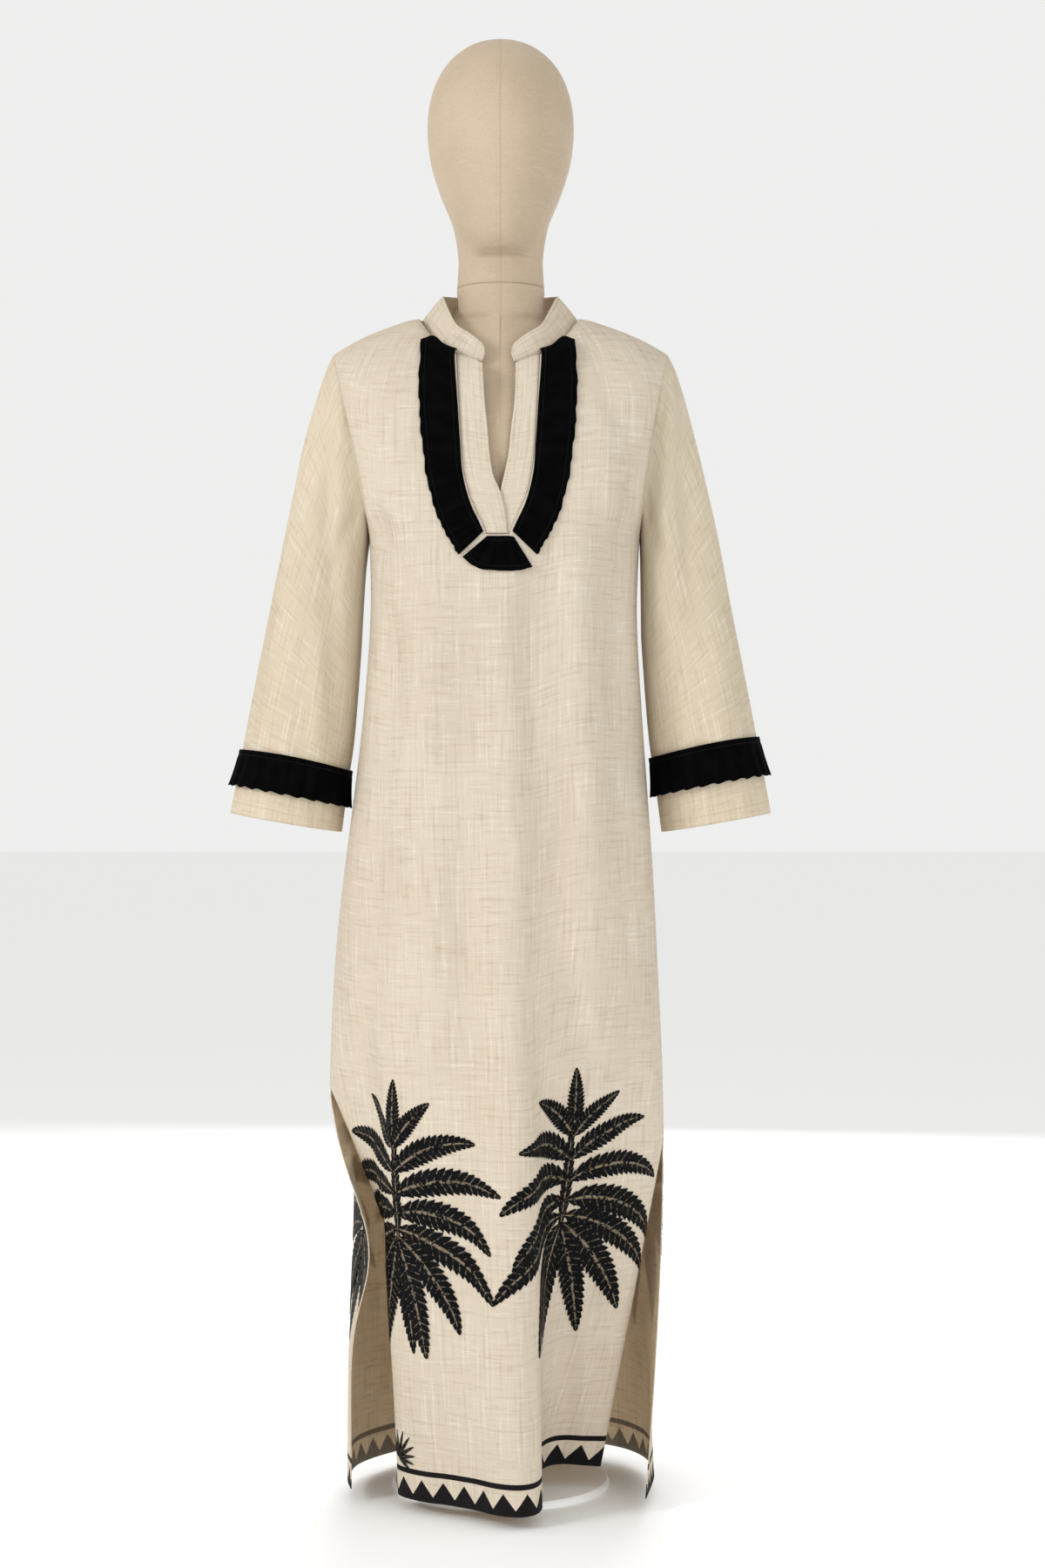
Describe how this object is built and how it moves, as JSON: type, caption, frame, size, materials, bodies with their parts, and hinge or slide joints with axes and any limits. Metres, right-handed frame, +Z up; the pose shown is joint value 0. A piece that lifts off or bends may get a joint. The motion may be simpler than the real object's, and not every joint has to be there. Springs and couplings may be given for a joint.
{
  "type": "kaftan on a dress form",
  "caption": "Long ivory slub-linen kaftan with black pleated neck and cuff trims, palm motifs and a triangle hem border, worn by a canvas dress form",
  "frame": {"origin": "middle of the base plate's underside, on the floor, 15 mm in front of the plate's own centre", "axes": "+Z up, the kaftan's front faces -Y, +X is the viewer's right"},
  "size_m": [0.6233, 0.3446, 1.659],
  "materials": {
    "linen": "matt ivory slub linen, plain weave with uneven thicker threads",
    "ribbon": "black pleated woven ribbon, slightly glossy on the folds",
    "canvas": "fine tan canvas stretched and glued over a hard form, with a centre seam",
    "stand": "satin white powder coat"
  },
  "bodies": {
    "root": {"front_panel": "linen", "back_panel": "linen", "sleeve_left": "linen", "sleeve_right": "linen", "collar": "linen", "placket_left": "linen", "placket_right": "linen", "neck_trim_left": "ribbon", "neck_trim_right": "ribbon", "neck_trim_bottom": "ribbon", "cuff_trim_left": "ribbon", "cuff_trim_right": "ribbon", "form_head": "canvas", "form_torso": "canvas", "form_pole": "stand", "form_socket": "stand", "form_base": "stand"}
  },
  "joints": []
}
